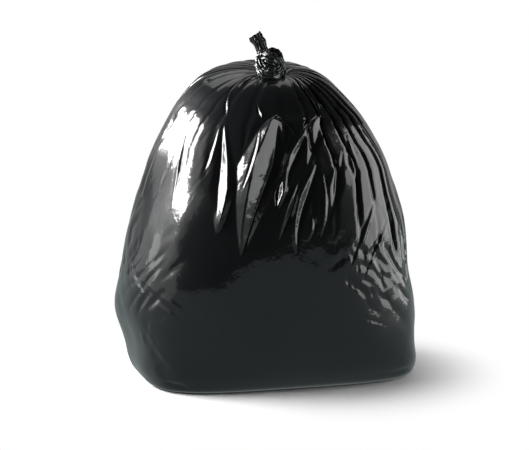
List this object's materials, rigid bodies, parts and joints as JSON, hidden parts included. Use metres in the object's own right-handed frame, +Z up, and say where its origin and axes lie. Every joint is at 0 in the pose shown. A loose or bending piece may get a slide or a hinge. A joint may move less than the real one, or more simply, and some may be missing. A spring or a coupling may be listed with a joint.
{
  "type": "refuse sack",
  "caption": "Filled black polyethylene refuse sack, gathered into pleats and tied shut with a knot in its own neck.",
  "frame": {"origin": "on the floor, under the middle of the sack's bounding box", "axes": "+Z up, through the middle of the base; the sack's broad front faces -Y, its width runs along X, and the knot stands about 42 mm in front of the origin"},
  "size_m": [0.497, 0.3804, 0.5752],
  "materials": {
    "black_film": "glossy black low density polyethylene film, creased"
  },
  "bodies": {
    "root": {"refuse_sack": "black_film"}
  },
  "joints": []
}
